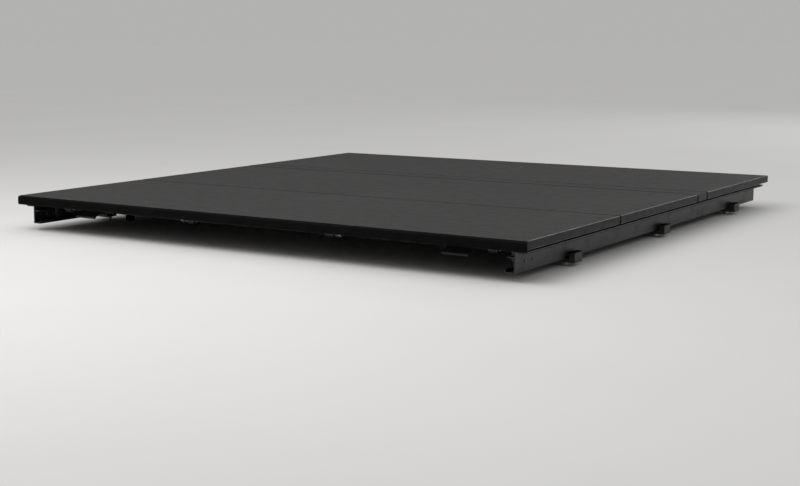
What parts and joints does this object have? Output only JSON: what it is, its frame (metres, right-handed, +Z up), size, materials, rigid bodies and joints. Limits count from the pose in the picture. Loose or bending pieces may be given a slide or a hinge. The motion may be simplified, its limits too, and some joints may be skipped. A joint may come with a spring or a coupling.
{
  "type": "truck bed tonneau cover",
  "caption": "Hard folding tonneau cover: rigid panels joined by rubber hinges fold onto each other and onto the front one, on clamped side rails",
  "frame": {"origin": "midway along and across the panels, on the plane where the side rails sit on the bed", "axes": "+X to the right of the truck, +Y forward to the cab, +Z up"},
  "size_m": [1.65, 1.778, 0.1032],
  "materials": {
    "panel_core": "honeycomb core behind the skins",
    "textured_skin": "matt fine-textured dark grey powder coat",
    "under_skin": "satin black coated underside",
    "black_extrusion": "satin black powder coat",
    "black_plastic": "matt moulded black",
    "black_rubber": "matt black",
    "foam_tape": "closed-cell foam",
    "rail_aluminium": "satin black anodised",
    "rivet_aluminium": "black anodised",
    "zinc_steel": "bright zinc plated",
    "bright_steel": "drawn bar",
    "black_steel": "satin black paint",
    "pale_plastic": "natural nylon"
  },
  "bodies": {
    "bed_frame": {"clamp_bolts": "zinc_steel", "clamp_brackets": "rail_aluminium", "clamp_jaws": "rail_aluminium", "clamp_pads": "black_rubber", "clamp_washers": "zinc_steel", "front_panel_bottom_skin": "under_skin", "front_panel_core": "panel_core", "front_panel_front_rail": "black_extrusion", "front_panel_rear_rail": "black_extrusion", "front_panel_rivets": "rivet_aluminium", "front_panel_side_trims": "black_extrusion", "front_panel_top_skin": "textured_skin", "front_panel_trim_caps": "black_plastic", "rail_caps": "black_plastic", "rail_left": "rail_aluminium", "rail_right": "rail_aluminium", "rail_seals": "black_rubber", "rail_tapes": "foam_tape", "striker_rivets": "rivet_aluminium", "strikers": "black_steel", "toe_clamp_plates": "black_steel", "toe_clamp_screws": "zinc_steel", "toe_clamp_studs": "zinc_steel", "front_hinge_strip": "black_rubber", "front_seal": "black_rubber"},
    "hinge_bar": {"hinge_bar_caps": "black_plastic", "hinge_bar_extrusion": "textured_skin", "middle_hinge_strip": "black_rubber"},
    "middle_panel": {"middle_panel_bottom_skin": "under_skin", "middle_panel_core": "panel_core", "middle_panel_front_rail": "black_extrusion", "middle_panel_rear_rail": "black_extrusion", "middle_panel_rivets": "rivet_aluminium", "middle_panel_side_trims": "black_extrusion", "middle_panel_top_skin": "textured_skin", "middle_panel_trim_caps": "black_plastic", "rear_hinge_strip": "black_rubber"},
    "rear_panel": {"rear_panel_bottom_skin": "under_skin", "rear_panel_core": "panel_core", "rear_panel_front_rail": "black_extrusion", "rear_panel_rear_rail": "black_extrusion", "rear_panel_rivets": "rivet_aluminium", "rear_panel_side_trims": "black_extrusion", "rear_panel_top_skin": "textured_skin", "rear_panel_trim_caps": "black_plastic", "tailgate_seal": "black_rubber", "rest_feet": "black_rubber", "bearing_blocks": "rail_aluminium", "bearing_bushes": "pale_plastic", "bearing_screws": "zinc_steel", "release_springs": "zinc_steel"},
    "release_bar": {"release_rod": "bright_steel", "claws": "black_steel", "paddles": "black_plastic", "spring_collars": "bright_steel"},
    "toe_clamp_right": {"toe_clamp_right": "black_steel"},
    "toe_clamp_left": {"toe_clamp_left": "black_steel"},
    "knob_right": {"knob_right": "black_plastic"},
    "knob_left": {"knob_left": "black_plastic"}
  },
  "joints": [
    {"name": "front_fold", "type": "hinge", "parent": "bed_frame", "child": "hinge_bar", "pos_m": [0, 0.305, 0.0347], "axis": [-1, 0, 0], "range_deg": [0, 90], "deforming": ["front_hinge_strip"]},
    {"name": "middle_fold", "type": "hinge", "parent": "hinge_bar", "child": "middle_panel", "pos_m": [0, 0.227, 0.0347], "axis": [-1, 0, 0], "range_deg": [0, 90], "deforming": ["middle_hinge_strip"]},
    {"name": "rear_fold", "type": "hinge", "parent": "middle_panel", "child": "rear_panel", "pos_m": [0, -0.347, 0.0347], "axis": [-1, 0, 0], "range_deg": [0, 180], "deforming": ["rear_hinge_strip"]},
    {"name": "release_turn", "type": "hinge", "parent": "rear_panel", "child": "release_bar", "pos_m": [0, -0.8, -0.0033], "axis": [-1, 0, 0], "range_deg": [0, 28], "stiffness_Nm_per_rad": 1.2, "springref_deg": -20.05, "deforming": ["release_springs"]},
    {"name": "toe_clamp_right_turn", "type": "hinge", "parent": "bed_frame", "child": "toe_clamp_right", "pos_m": [0.738, 0.795, -0.0212], "axis": [0, 0, 1], "range_deg": [0, 90]},
    {"name": "knob_right_turn", "type": "hinge", "parent": "bed_frame", "child": "knob_right", "pos_m": [0.738, 0.795, -0.034], "axis": [0, 0, 1], "continuous": true},
    {"name": "toe_clamp_left_turn", "type": "hinge", "parent": "bed_frame", "child": "toe_clamp_left", "pos_m": [-0.738, 0.795, -0.0212], "axis": [0, 0, -1], "range_deg": [0, 90]},
    {"name": "knob_left_turn", "type": "hinge", "parent": "bed_frame", "child": "knob_left", "pos_m": [-0.738, 0.795, -0.034], "axis": [0, 0, 1], "continuous": true}
  ],
  "couplings": [
    {"joint": "middle_fold", "follows": "front_fold", "ratio": 1}
  ]
}
